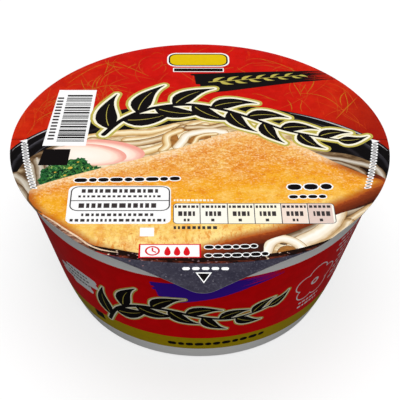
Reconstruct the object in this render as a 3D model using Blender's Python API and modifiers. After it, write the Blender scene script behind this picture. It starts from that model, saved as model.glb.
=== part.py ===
"""A shut instant noodle bowl: a tapered one-piece bowl under a glued paper lid with a pull tab.

Metres, +Z up. The origin is the centre of the bowl's base, on the bowl's axis, and the lid's
pull tab points along -Y. The pack is shut, so the bowl is solid up to its rim.
"""

import math

import bmesh
import bpy

# Driving sizes of the whole pack
PACK_HEIGHT = 0.0626
LID_RADIUS = 0.0700
GAP = 0.0003

# Lid: a paper disc that turns down a little outside the rim
LID_THICKNESS = 0.0005
TURN_DOWN_RADIUS = 0.0680
TURN_DOWN_SLOPE = 0.20
TURN_DOWN_BEND = 0.0015

# Pull tab: two straight flanks that meet in a round tip
FLANK_DISTANCE = 0.0714
FLANK_ANGLE = math.radians(29.4)
FLANK_ROOT_ANGLE = math.radians(46.0)
TIP_RADIUS = 0.0089

# Bowl: the rim's rolled lip, the straight wall below it, its bend inward, and the rounded foot
LIP_RADIUS = 0.0690
LIP_HEIGHT = 0.0022
LIP_ROUND = 0.0009
WALL_TOP_RADIUS = 0.0670
WALL_SLOPE = 0.280
BEND_HEIGHT = 0.0190
BEND_RADIUS = 0.1180
FOOT_ROUND = 0.0016
GROOVE_OUTER_RADIUS = 0.0420
GROOVE_INNER_RADIUS = 0.0170
GROOVE_DEPTH = 0.0015
GROOVE_SIDE = 0.0012

# How finely the round shapes are divided
TURN_STEPS = 96
ROUND_STEPS = 5
LID_STEPS = 144
LID_RADII = (0.0, 0.024, 0.046, 0.060, TURN_DOWN_RADIUS, 0.0684, 0.0690, 0.0695, LID_RADIUS)
MERGE_DISTANCE = 0.00001
SMOOTH_ANGLE = math.radians(35.0)

RIM_TOP = PACK_HEIGHT - LID_THICKNESS - GAP

COLOURS = {
    "bowl": ((0.42, 0.008, 0.012), 0.34),
    "lid": ((0.55, 0.014, 0.012), 0.38),
}


def clear_scene():
    for item in list(bpy.data.objects):
        bpy.data.objects.remove(item, do_unlink=True)


def new_collection(name):
    group = bpy.data.collections.new(name)
    bpy.context.scene.collection.children.link(group)
    return group


def material(name):
    colour, roughness = COLOURS[name]
    finish = bpy.data.materials.new(name)
    finish.use_nodes = True
    shader = finish.node_tree.nodes["Principled BSDF"]
    shader.inputs["Base Color"].default_value = (*colour, 1.0)
    shader.inputs["Roughness"].default_value = roughness
    shader.inputs["Metallic"].default_value = 0.0
    return finish


def arc(centre, radius, start, end, steps=ROUND_STEPS):
    """Points on a circle in the (radius, height) plane, from angle start to angle end."""
    turns = [start + (end - start) * step / steps for step in range(steps + 1)]
    return [(centre[0] + radius * math.cos(turn), centre[1] + radius * math.sin(turn)) for turn in turns]


def wall_radius(height):
    """Outer radius of the straight wall at a height above the base."""
    return WALL_TOP_RADIUS - WALL_SLOPE * (RIM_TOP - LIP_HEIGHT - height)


def lower_wall():
    """The wall below its straight part: a wide bend inward, and the small round that ends on the base."""
    lean = math.atan(WALL_SLOPE)
    bend_centre = (
        wall_radius(BEND_HEIGHT) - BEND_RADIUS * math.cos(lean),
        BEND_HEIGHT + BEND_RADIUS * math.sin(lean),
    )
    reach = BEND_RADIUS - FOOT_ROUND
    foot_lean = math.asin((bend_centre[1] - FOOT_ROUND) / reach)
    foot_centre = (bend_centre[0] + reach * math.cos(foot_lean), FOOT_ROUND)
    bend = arc(bend_centre, BEND_RADIUS, -lean, -foot_lean)
    return bend[:-1] + arc(foot_centre, FOOT_ROUND, -foot_lean, -math.pi / 2)


def bowl_profile():
    """The bowl's half outline, from the middle of its top down the outer side to the middle of its base."""
    lip_centre = LIP_RADIUS - LIP_ROUND
    lip_foot = RIM_TOP - LIP_HEIGHT
    return [
        (0.0, RIM_TOP),
        (LIP_RADIUS * 0.55, RIM_TOP),
        *arc((lip_centre, RIM_TOP - LIP_ROUND), LIP_ROUND, math.pi / 2, 0.0),
        *arc((lip_centre, lip_foot + LIP_ROUND), LIP_ROUND, 0.0, -math.pi / 2),
        (WALL_TOP_RADIUS, lip_foot),
        *lower_wall(),
        (GROOVE_OUTER_RADIUS, 0.0),
        (GROOVE_OUTER_RADIUS - GROOVE_SIDE, GROOVE_DEPTH),
        (GROOVE_INNER_RADIUS + GROOVE_SIDE, GROOVE_DEPTH),
        (GROOVE_INNER_RADIUS, 0.0),
        (0.0, 0.0),
    ]


def turned(name, profile, steps, group):
    """An object made by turning a (radius, height) profile about the Z axis."""
    mesh = bpy.data.meshes.new(name)
    points = [(radius, 0.0, height) for radius, height in profile]
    mesh.from_pydata(points, [(i, i + 1) for i in range(len(points) - 1)], [])
    item = bpy.data.objects.new(name, mesh)
    group.objects.link(item)
    screw = item.modifiers.new("Turn", "SCREW")
    screw.steps = screw.render_steps = steps
    screw.use_merge_vertices = True
    screw.merge_threshold = MERGE_DISTANCE
    return item


def as_mesh(item):
    """Replaces an object's mesh by the mesh that its modifiers give."""
    depsgraph = bpy.context.evaluated_depsgraph_get()
    made = bpy.data.meshes.new_from_object(item.evaluated_get(depsgraph))
    item.modifiers.clear()
    item.data = made


def smooth(mesh):
    mesh.shade_smooth()
    mesh.set_sharp_from_angle(angle=SMOOTH_ANGLE)


def edge_radius(turn):
    """The lid's outline: its radius at an angle measured from the pull tab's middle line."""
    turn = abs(turn)
    apex = FLANK_DISTANCE / math.cos(FLANK_ANGLE)
    tip_centre = apex - TIP_RADIUS / math.cos(FLANK_ANGLE)
    tip_end = math.atan2(
        TIP_RADIUS * math.sin(FLANK_ANGLE), tip_centre + TIP_RADIUS * math.cos(FLANK_ANGLE)
    )
    if turn < tip_end:
        return tip_centre * math.cos(turn) + math.sqrt(TIP_RADIUS**2 - (tip_centre * math.sin(turn)) ** 2)
    if turn < FLANK_ANGLE:
        return FLANK_DISTANCE / math.cos(FLANK_ANGLE - turn)
    if turn < FLANK_ROOT_ANGLE:
        left = (FLANK_ROOT_ANGLE - turn) / (FLANK_ROOT_ANGLE - FLANK_ANGLE)
        return LID_RADIUS + (FLANK_DISTANCE - LID_RADIUS) * left * left * (3 - 2 * left)
    return LID_RADIUS


def turn_down(radius):
    """How far the paper has turned down at a radius, in a bend over the rim and then straight."""
    past = max(0.0, radius - TURN_DOWN_RADIUS)
    return TURN_DOWN_SLOPE * (math.hypot(past, TURN_DOWN_BEND) - TURN_DOWN_BEND)


def build_bowl(group):
    bowl = turned("bowl", bowl_profile(), TURN_STEPS, group)
    as_mesh(bowl)
    smooth(bowl.data)
    bowl.data.materials.append(material("bowl"))
    return bowl


def build_lid(group):
    """A turned flat disc whose outer rings are drawn out into the tab and bent down, given a thickness."""
    profile = [(radius, PACK_HEIGHT) for radius in LID_RADII]
    lid = turned("lid", profile, LID_STEPS, group)
    as_mesh(lid)
    for vertex in lid.data.vertices:
        x, y, _ = vertex.co
        radius = math.hypot(x, y)
        if radius > TURN_DOWN_RADIUS:
            turn = math.atan2(x, -y)
            stretch = (edge_radius(turn) - TURN_DOWN_RADIUS) / (LID_RADIUS - TURN_DOWN_RADIUS)
            drawn = TURN_DOWN_RADIUS + (radius - TURN_DOWN_RADIUS) * stretch
            vertex.co.x *= drawn / radius
            vertex.co.y *= drawn / radius
            vertex.co.z -= turn_down(drawn)
    face_up(lid.data)
    shell = lid.modifiers.new("Paper thickness", "SOLIDIFY")
    shell.thickness = LID_THICKNESS
    shell.offset = -1.0
    smooth(lid.data)
    lid.data.materials.append(material("lid"))
    return lid


def face_up(mesh):
    """Turns every face of an open, level surface to look up."""
    shape = bmesh.new()
    shape.from_mesh(mesh)
    shape.normal_update()
    for face in shape.faces:
        if face.normal.z < 0:
            face.normal_flip()
    shape.to_mesh(mesh)
    shape.free()


def main():
    clear_scene()
    group = new_collection("instant_noodle_bowl")
    build_bowl(group)
    build_lid(group)


main()
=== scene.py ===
"""The looks of a shut instant noodle bowl: its printed lid, its printed wall, light and camera.

The frame's origin is the centre of the base, +Z up, and the lid's pull tab points along -Y.
The prints are laid out flat in millimetres: the lid's from its centre, seen from above, and the
wall's unrolled, with one unit to each degree round from the tab and its height above the base.
"""

import math
import random

import bpy
import numpy as np
from mathutils import Matrix, Vector
from mathutils.geometry import delaunay_2d_cdt


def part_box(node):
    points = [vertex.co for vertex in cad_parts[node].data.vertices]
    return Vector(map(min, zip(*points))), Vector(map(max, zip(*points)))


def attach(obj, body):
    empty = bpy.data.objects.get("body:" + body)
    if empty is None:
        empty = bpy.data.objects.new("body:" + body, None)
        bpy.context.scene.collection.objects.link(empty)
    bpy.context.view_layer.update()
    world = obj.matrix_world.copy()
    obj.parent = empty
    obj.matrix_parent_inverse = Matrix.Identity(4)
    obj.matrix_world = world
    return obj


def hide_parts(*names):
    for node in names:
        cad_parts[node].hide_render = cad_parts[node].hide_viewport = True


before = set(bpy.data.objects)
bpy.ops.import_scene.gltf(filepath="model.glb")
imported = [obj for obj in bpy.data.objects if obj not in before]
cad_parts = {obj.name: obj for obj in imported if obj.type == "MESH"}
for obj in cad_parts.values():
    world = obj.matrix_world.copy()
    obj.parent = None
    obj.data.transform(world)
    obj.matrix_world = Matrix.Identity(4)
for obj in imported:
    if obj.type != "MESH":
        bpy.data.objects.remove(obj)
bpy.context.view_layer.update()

MM = 0.001

# Lid, in mm: the outline and the turn down are those of the CAD lid
LID_RADIUS = 70.0
LID_THICKNESS = 0.2
TURN_DOWN_RADIUS = 68.0
TURN_DOWN_SLOPE = 0.20
TURN_DOWN_BEND = 1.5
FLANK_DISTANCE = 71.4
FLANK_ANGLE = math.radians(29.4)
FLANK_ROOT_ANGLE = math.radians(46.0)
TIP_RADIUS = 8.9
LID_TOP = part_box("lid")[1].z / MM
SEAL_RISE = 0.10
SEAL_START, SEAL_END = 63.5, 66.0
SAG_WAVES, SAG_FADE = 0.03, 20.0

# Wall, in mm: the same turned profile as the CAD bowl
RIM_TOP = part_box("bowl")[1].z / MM
LIP_RADIUS = 69.0
LIP_HEIGHT = 2.2
LIP_ROUND = 0.9
WALL_TOP_RADIUS = 67.0
WALL_SLOPE = 0.28
WALL_LEAN = math.atan(WALL_SLOPE)
BEND_HEIGHT = 19.0
BEND_RADIUS = 118.0
FOOT_ROUND = 1.6
GROOVE_OUTER_RADIUS, GROOVE_INNER_RADIUS = 42.0, 17.0
GROOVE_DEPTH, GROOVE_SIDE = 1.5, 1.2

# Heights on the wall where its print changes colour, and where the printed sheet starts and ends, in mm
# above the base
PRINT_TOP, GOLD_TOP, GOLD_FOOT = 51.6, 15.1, 7.2
PRINT_ROWS = (4.0, 57.9)

# How finely the shapes are divided: the lid's edge in degrees, the wall in degrees and rows, the lid's
# rings and the lines of its turned down part in radians, the grid in its middle in mm, and the turned
# shapes in steps
EDGE_DEGREES, WALL_DEGREES, WALL_ROWS = 1.5, 2.5, 19
RING_STEP, TURN_DOWN_STEP = 0.04, 0.035
GRID_PITCH, GRID_ROW_PITCH = 2.6, 2.6 * 0.866
TURN_STEPS, ARC_STEPS = 144, 6

# Camera: its distance, pitch, roll and turn to the lid's centre, and its lens as the photograph's pixels
# show it
CAMERA_DISTANCE = 0.4865
CAMERA_PITCH = math.radians(35.47)
CAMERA_ROLL = math.radians(0.65)
CAMERA_TURN = math.radians(1.1)
PHOTO_SIZE = 400.0
FOCAL_PIXELS = 1312.0
OPTICAL_CENTRE = (200.0, 142.0)
SENSOR_MM = 36.0

FLOOR_SIZE = 12.0


# Flat outlines, in mm

def curve(points, steps):
    """A smooth open line through the points, as Catmull-Rom stretches."""
    ends = [points[0], *points, points[-1]]
    line = []
    for before, start, end, after in zip(ends, ends[1:], ends[2:], ends[3:]):
        line += [spline_point(before, start, end, after, step / steps) for step in range(steps)]
    return [*line, points[-1]]


def loop(points, steps=5):
    """A smooth closed line through the points."""
    count = len(points)
    line = []
    for i in range(count):
        four = [points[(i + k - 1) % count] for k in range(4)]
        line += [spline_point(*four, step / steps) for step in range(steps)]
    return line


def spline_point(before, start, end, after, share):
    def along(p, a, b, q):
        bend = 2 * p - 5 * a + 4 * b - q
        return 0.5 * (2 * a + (b - p) * share + bend * share**2 + (3 * a - p - 3 * b + q) * share**3)

    return (along(before[0], start[0], end[0], after[0]), along(before[1], start[1], end[1], after[1]))


def ellipse(x, y, across, along, turn=0.0, steps=40, start=0.0, end=360.0):
    """An ellipse or a stretch of it, by half axes and a turn in degrees."""
    c, s = math.cos(math.radians(turn)), math.sin(math.radians(turn))
    whole = abs(end - start) >= 360
    line = []
    for step in range(steps if whole else steps + 1):
        angle = math.radians(start + (end - start) * step / steps)
        u, v = across * math.cos(angle), along * math.sin(angle)
        line.append((x + c * u - s * v, y + s * u + c * v))
    return line


def circle(x, y, radius, steps):
    return ellipse(x, y, radius, radius, 0, steps)


def box(left, low, right, high, radius=0.0, steps=5):
    """An upright box, with round corners where a radius is given."""
    if not radius:
        return [(left, low), (right, low), (right, high), (left, high)]
    line = []
    for x, y, start in ((right, high, 0), (left, high, 90), (left, low, 180), (right, low, 270)):
        cx = x - radius if x == right else x + radius
        cy = y - radius if y == high else y + radius
        line += ellipse(cx, cy, radius, radius, 0, steps, start, start + 90)
    return line


def left_sides(points):
    """The unit steps to the left of a line at each of its points."""
    ways = np.gradient(points, axis=0)
    ways /= np.linalg.norm(ways, axis=1)[:, None] + 1e-12
    return np.stack([-ways[:, 1], ways[:, 0]], axis=1)


def reaches(points):
    """How far along a line each of its points is."""
    return np.concatenate([[0.0], np.cumsum(np.linalg.norm(np.diff(points, axis=0), axis=1))])


def spaced(widths, count):
    """Widths evenly spaced along a line, as one for each of its points."""
    return np.interp(np.linspace(0, 1, count), np.linspace(0, 1, len(widths)), widths)


def stroke(line, widths, grow, cap_steps):
    """The outline round a line, by half widths along it, with round ends."""
    points = np.array(line, float)
    sides = left_sides(points)
    half = spaced(widths, len(points)) + grow
    reach = sides * half[:, None]
    outline = [tuple(p) for p in points + reach]
    outline += cap(points[-1], sides[-1], half[-1], cap_steps)
    outline += [tuple(p) for p in (points - reach)[::-1]]
    outline += cap(points[0], -sides[0], half[0], cap_steps)
    return outline


def cap(centre, side, radius, steps):
    """Points of a half circle that turns clockwise from one side of a line's end to the other."""
    start = math.atan2(side[1], side[0])
    turns = [start - math.pi * step / steps for step in range(1, steps)]
    return [(centre[0] + radius * math.cos(t), centre[1] + radius * math.sin(t)) for t in turns]


def leaf_line(x, y, heading, length, bend):
    """A leaf's middle line: an arc that starts at a point with a heading in degrees."""
    points = []
    for step in range(11):
        share = step / 10
        angle = math.radians(heading + bend * share)
        points.append((x + length * share * math.cos(angle), y + length * share * math.sin(angle)))
    return points


# How a place lies to a line or an outline

def segment_places(points, line):
    """For each point, its distance to the line, and the side of the line that it lies on."""
    points, line = np.asarray(points, float), np.asarray(line, float)
    a, b = line[:-1], line[1:]
    ab = b - a
    length = (ab**2).sum(axis=1) + 1e-12
    best = np.full(len(points), 1e9)
    side = np.zeros(len(points))
    for start, step, size in zip(a, ab, length):
        rel = points - start
        share = np.clip(rel @ step / size, 0, 1)
        off = rel - share[:, None] * step
        distance = np.hypot(off[:, 0], off[:, 1])
        closer = distance < best
        best[closer] = distance[closer]
        side[closer] = np.sign(step[0] * rel[closer, 1] - step[1] * rel[closer, 0])
    return best, side


def across(line, half_width):
    """A field from -1 at a stroke's left edge to 1 at its right edge."""
    def field(points):
        distance, side = segment_places(points, line)
        return -side * distance / half_width

    return field


def inset(outline, reach):
    """A field that is 0 on an outline and 1 from a reach inside it."""
    closed = [*outline, outline[0]]

    def field(points):
        return np.clip(segment_places(points, closed)[0] / reach, 0, 1)

    return field


def radial(x, y, half_across, half_along, turn=0.0):
    """A field that is 0 at an ellipse's centre and 1 on it."""
    c, s = math.cos(math.radians(turn)), math.sin(math.radians(turn))

    def field(points):
        rel = np.asarray(points, float) - (x, y)
        u = (c * rel[:, 0] + s * rel[:, 1]) / half_across
        v = (-s * rel[:, 0] + c * rel[:, 1]) / half_along
        return np.hypot(u, v)

    return field


def inside(outline, x, y):
    """Whether a place lies inside a closed outline."""
    within = False
    for (ax, ay), (bx, by) in zip(outline, [*outline[1:], outline[0]]):
        if (ay > y) != (by > y) and x < ax + (bx - ax) * (y - ay) / (by - ay):
            within = not within
    return within


def counterclockwise(outline):
    area = sum(a[0] * b[1] - b[0] * a[1] for a, b in zip(outline, [*outline[1:], outline[0]]))
    return outline if area > 0 else outline[::-1]


class Print:
    """Shapes laid one over another on a flat sheet, each in its own ink."""

    def __init__(self, sheet, ink):
        self.shapes = [(sheet, ink, None)]
        self.guides = []

    def lay(self, outline, ink, field=None):
        self.shapes.append((outline, ink, field))

    def trace(self, line, widths, ink, cap_steps=5, grow=0.0, field=None):
        """Lays a stroke along a line, by half widths along it."""
        self.lay(stroke(line, widths, grow, cap_steps), ink, field)

    def lay_boxes(self, *boxes):
        """Lays boxes: left, low, right and high side, the corners' radius if they are round, and ink."""
        for *sides, ink in boxes:
            self.lay(box(*sides), ink)

    def guide(self, points):
        """Points that the triangles must meet, for shading and for the sheet's own form."""
        self.guides += points

    def triangles(self):
        """The sheet's places and triangles, and for each triangle its topmost shape's ink and fields."""
        points, faces = [], []
        for outline, _, _ in self.shapes:
            faces.append(list(range(len(points), len(points) + len(outline))))
            points += [Vector(p) for p in counterclockwise(outline)]
        points += [Vector(p) for p in self.guides]
        made = delaunay_2d_cdt(points, [], faces, 0, 1e-5)
        places = np.array([(v.x, v.y) for v in made[0]])
        kept = [(tri, max(owners)) for tri, owners in zip(made[2], made[5]) if 0 in owners]
        corners = np.array([tri for tri, _ in kept])
        owner = np.array([top for _, top in kept])
        a, b, c = (places[corners[:, k]] for k in range(3))
        area = (b - a)[:, 0] * (c - a)[:, 1] - (b - a)[:, 1] * (c - a)[:, 0]
        corners[area < 0] = corners[area < 0][:, ::-1]
        real = np.abs(area) > 1e-9
        corners, owner = corners[real], owner[real]
        names = [self.shapes[number][1] for number in owner]
        return places, corners, names, self.fields(places, corners, owner)

    def fields(self, places, corners, owner):
        """For each triangle's corners, the value of its shape's own field."""
        values = np.zeros(corners.shape)
        for number, (_, _, field) in enumerate(self.shapes):
            mine = owner == number
            if field is not None and mine.any():
                spots = places[corners[mine]].reshape(-1, 2)
                values[mine] = np.reshape(field(spots), (-1, 3))
        return values


# Materials

# The coated paper: how strongly it mirrors, its range of roughness, its relief's strength and depth, and
# the size of its grain and waves in mm
SHEEN = 0.04
GLOSS = (0.38, 0.50)
RELIEF, RELIEF_DEPTH = 0.06, 0.4 * MM
GRAIN_SIZE, WAVE_SIZE = 0.35, 9.0

# Plain inks, and the unprinted wall and the lid's edge and underside: red, green and blue from 0 to 255,
# and how much darker their clouds are
PLAIN_INKS = {
    "fibre": (204, 112, 22, 0.35),
    "fibre_faint": (206, 70, 16, 0.25),
    "glint": (196, 192, 196, 0.3),
    "dim_glint": (74, 72, 78, 0.3),
    "noodle_gap": (190, 146, 88, 0.3),
    "broth": (178, 118, 56, 0.35),
    "noodle_shade": (112, 82, 52, 0.35),
    "umber": (30, 12, 6, 0.4),
    "leek": (66, 126, 52, 0.3),
    "leek_dark": (6, 38, 20, 0.3),
    "leek_pale": (104, 160, 92, 0.3),
    "leek_bright": (150, 186, 96, 0.3),
    "leek_yellow": (222, 186, 70, 0.3),
    "rim_light": (246, 216, 184, 0.3),
    "mark": (20, 8, 4, 0.2),
    "bokeh": (134, 104, 108, 0.2),
    "gold": (196, 182, 84, 0.14),
    "cream": (252, 246, 222, 0.04),
    "white": (252, 252, 252, 0.02),
    "line": (60, 54, 54, 0.1),
    "rule": (150, 146, 146, 0.1),
    "yellow": (228, 194, 0, 0.05),
    "signal": (222, 22, 34, 0.05),
    "table_1": (253, 250, 238, 0.02),
    "table_2": (253, 248, 226, 0.02),
    "table_3": (246, 226, 212, 0.03),
    "table_4": (228, 204, 194, 0.03),
    "wall_gold": (186, 160, 0, 0.08),
    "silver": (240, 238, 240, 0.06),
    "bare_wall": (250, 250, 248, 0.02),
    "lid_edge": (150, 146, 148, 0.1),
    "lid_underside": (222, 222, 220, 0.05),
}

# Noodles: stops across them, from the lit edge to the shaded one, each a share, red, green and blue
NOODLE_INKS = {
    "noodle": (
        (0.0, 204, 162, 104), (0.16, 230, 198, 146), (0.36, 252, 240, 206),
        (0.60, 242, 218, 170), (0.84, 214, 174, 112), (1.0, 178, 126, 66),
    ),
    "noodle_pale": (
        (0.0, 226, 204, 170), (0.14, 242, 228, 200), (0.36, 255, 251, 240),
        (0.66, 250, 240, 222), (0.86, 232, 212, 180), (1.0, 200, 168, 126),
    ),
    "noodle_tan": (
        (0.0, 158, 118, 72), (0.20, 198, 166, 120), (0.42, 238, 222, 192),
        (0.66, 216, 190, 148), (0.86, 182, 144, 98), (1.0, 136, 96, 56),
    ),
    "noodle_dim": (
        (0.0, 104, 80, 56), (0.20, 158, 140, 116), (0.42, 206, 198, 184),
        (0.62, 190, 180, 162), (0.84, 138, 118, 94), (1.0, 84, 62, 44),
    ),
    "noodle_dusk": (
        (0.0, 66, 44, 28), (0.22, 128, 104, 78), (0.44, 188, 172, 150),
        (0.62, 162, 142, 116), (0.84, 108, 82, 58), (1.0, 52, 34, 22),
    ),
    "noodle_pearl": (
        (0.0, 118, 94, 68), (0.20, 170, 154, 134), (0.42, 212, 204, 192),
        (0.62, 192, 182, 166), (0.84, 148, 130, 106), (1.0, 98, 74, 52),
    ),
}


def colour(red, green, blue):
    """A printed colour, from 0 to 255 as a screen shows it, as Blender's linear colour."""
    parts = []
    for value in (red, green, blue):
        share = value / 255
        parts.append(share / 12.92 if share <= 0.04045 else ((share + 0.055) / 1.055) ** 2.4)
    return (*parts, 1.0)


class Finish:
    """A material and short ways to add its nodes. A colour is a socket, linear or (red, green, blue)."""

    def __init__(self, name):
        self.material = bpy.data.materials.new(name)
        self.material.use_nodes = True
        self.tree = self.material.node_tree
        self.shader = self.tree.nodes["Principled BSDF"]
        self.shader.inputs["Specular IOR Level"].default_value = SHEEN
        self.place = self.node("TexCoord", {}).outputs["Object"]

    def put(self, value, socket):
        if isinstance(value, bpy.types.NodeSocket):
            self.tree.links.new(value, socket)
        elif socket.type == "RGBA" and len(value) == 3:
            socket.default_value = colour(*value)
        else:
            socket.default_value = value

    def node(self, kind, inputs, **settings):
        node = self.tree.nodes.new("ShaderNode" + kind)
        for name, value in settings.items():
            setattr(node, name, value)
        for name, value in inputs.items():
            self.put(value, node.inputs[name])
        return node

    def split(self):
        """The place's X, Y and Z, in metres."""
        return self.node("SeparateXYZ", {"Vector": self.place}).outputs

    def noise(self, size_mm, detail=3.0, roughness=0.55, stretch=None, turn=(0, 0, 0), distortion=0.0):
        """A noise whose lumps are about this many millimetres across, before any stretch and turn."""
        place = self.place
        if stretch:
            mapping = self.node("Mapping", {"Vector": place, "Scale": stretch, "Rotation": turn})
            place = mapping.outputs["Vector"]
        inputs = {"Vector": place, "Scale": 1.0 / (size_mm * MM), "Detail": detail}
        inputs |= {"Roughness": roughness, "Distortion": distortion}
        return self.node("TexNoise", inputs).outputs["Fac"]

    def field(self):
        """The field that the print gives the shape: across a stroke, inward from an edge, or outward."""
        return self.node("Attribute", {}, attribute_name="field").outputs["Fac"]

    def math(self, operation, a, b=0.0):
        return self.node("Math", {0: a, 1: b}, operation=operation).outputs[0]

    def times(self, a, b):
        return self.math("MULTIPLY", a, b)

    def plus(self, a, b):
        return self.math("ADD", a, b)

    def minus(self, a, b):
        return self.math("SUBTRACT", a, b)

    def swing(self, value, reach):
        """A value from 0 to 1 as a swing to both sides of 0."""
        return self.times(self.minus(value, 0.5), reach)

    def spread(self, value, low, high):
        """Stretches a value so that low becomes 0 and high becomes 1."""
        inputs = {"Value": value, "From Min": low, "From Max": high}
        return self.node("MapRange", inputs, interpolation_type="SMOOTHSTEP").outputs["Result"]

    def ramp(self, value, stops):
        """A colour by a value, from stops that each hold a share, red, green and blue."""
        node = self.node("ValToRGB", {"Fac": value})
        ramp = node.color_ramp
        ramp.interpolation = "EASE"
        while len(ramp.elements) < len(stops):
            ramp.elements.new(0.5)
        for element, (place, *tint) in zip(ramp.elements, stops):
            element.position = place
            element.color = colour(*tint)
        return node.outputs["Color"]

    def mix(self, share, a, b):
        return self.node("Mix", {"Factor": share, 6: a, 7: b}, data_type="RGBA").outputs[2]

    def dab(self, tint, value, low, high, strength, over):
        """Lays a colour over a tint where a value goes from low to high, at a strength."""
        return self.mix(self.times(self.spread(value, low, high), strength), tint, over)

    def printed(self, tint):
        """The material, with a tint on the coated paper: faint relief and an uneven gloss."""
        waves = self.noise(WAVE_SIZE, 1.0)
        height = self.plus(self.times(self.noise(GRAIN_SIZE, 2.0), 0.25), waves)
        bump = self.node("Bump", {"Strength": RELIEF, "Distance": RELIEF_DEPTH, "Height": height})
        shine = self.node("MapRange", {"Value": waves, "To Min": GLOSS[0], "To Max": GLOSS[1]})
        self.put(tint, self.shader.inputs["Base Color"])
        self.put(bump.outputs["Normal"], self.shader.inputs["Normal"])
        self.put(shine.outputs["Result"], self.shader.inputs["Roughness"])
        return self.material


# Inks: each gives a finish its tint

def plain(ink, red, green, blue, variation):
    """A printed tint with the faint unevenness of a print."""
    tint = colour(red, green, blue)
    darker = (*(part * (1 - variation) for part in tint[:3]), 1.0)
    return ink.mix(ink.spread(ink.noise(1.6), 0.3, 0.7), darker, tint)


def washi(ink):
    """Red handmade paper: cloudy, more orange towards the sides, deeper at the right, with short hairs."""
    x, y, _ = ink.split()
    sideways = ink.plus(ink.math("ABSOLUTE", x), ink.times(ink.noise(14.0), 0.018))
    cloud = ink.spread(ink.noise(6.0, 4.0, 0.6), 0.32, 0.70)
    red = ink.mix(cloud, (194, 8, 0), (208, 16, 4))
    warm = ink.mix(cloud, (190, 26, 0), (206, 42, 6))
    tint = ink.mix(ink.spread(sideways, 0.030, 0.078), red, warm)
    tint = ink.dab(tint, ink.minus(x, ink.times(y, 0.5)), 0.032, 0.062, 0.58, (126, 12, 4))
    hairs = ink.noise(2.2, 2.0, 0.6, (1.0, 0.14, 1.0), (0, 0, 0.5), 0.6)
    tint = ink.dab(tint, hairs, 0.62, 0.74, 0.26, (222, 84, 20))
    crossed = ink.noise(2.0, 2.0, 0.6, (0.16, 1.0, 1.0), (0, 0, -0.4), 0.8)
    return ink.dab(tint, crossed, 0.62, 0.74, 0.20, (158, 6, 4))


def wall_red(ink):
    """The wall's red, a little cloudy."""
    return ink.mix(ink.spread(ink.noise(5.0, 4.0, 0.6), 0.35, 0.68), (222, 0, 4), (234, 0, 8))


def lacquer(ink):
    """A black lacquered bowl, paler in soft rings where it mirrors the light."""
    streak = ink.noise(3.0, 2.0, 0.5, (0.5, 1.4, 1.0))
    dark = (6, 3, 4)
    return ink.ramp(ink.plus(ink.field(), ink.swing(streak, 0.02)), (
        (0.0, *dark), (0.80, *dark), (0.825, 34, 30, 34), (0.84, *dark), (0.905, *dark),
        (0.925, 44, 42, 47), (0.935, *dark), (0.965, *dark), (1.0, 22, 16, 18),
    ))


def noodle(ink, *stops):
    """A wheat noodle, lit along one side and darker at both edges."""
    place = ink.plus(ink.times(ink.field(), 0.5), 0.5)
    return ink.ramp(ink.plus(place, ink.swing(ink.noise(3.6, 2.0), 0.30)), stops)


def bed(ink):
    """The shaded noodles and broth under the noodles that lie on top: darker at the sides of its back."""
    x, y, _ = ink.split()
    cloud = ink.noise(4.5, 3.0, 0.6, (0.6, 1.3, 1.0), (0, 0, 0.35))
    pale = ink.ramp(cloud, (
        (0.30, 150, 112, 70), (0.44, 196, 164, 118), (0.56, 228, 206, 166), (0.70, 248, 236, 208),
    ))
    dark = ink.ramp(cloud, (
        (0.30, 48, 30, 18), (0.46, 90, 66, 42), (0.58, 128, 102, 72), (0.70, 170, 148, 118),
    ))
    sideways = ink.spread(ink.math("ABSOLUTE", x), 0.036, 0.050)
    return ink.mix(ink.times(sideways, ink.spread(y, -0.036, -0.026)), pale, dark)


def fish_cake(ink):
    """Cream fish paste with a soft pink skin, which shows where the slice's skin is thick."""
    return ink.ramp(ink.times(ink.plus(ink.field(), ink.swing(ink.noise(3.0), 0.10)), 0.75), (
        (0.0, 255, 247, 236), (0.56, 254, 240, 226), (0.70, 253, 226, 208),
        (0.80, 248, 196, 180), (0.90, 243, 168, 152), (1.0, 244, 162, 148),
    ))


def greens(ink):
    """Chopped green leaves: dark gaps and mid greens."""
    return ink.ramp(ink.noise(1.1, 3.0, 0.75, distortion=1.8), (
        (0.36, 5, 34, 18), (0.45, 14, 62, 30), (0.50, 48, 116, 58), (0.55, 18, 72, 34), (0.62, 70, 142, 80),
    ))


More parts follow.
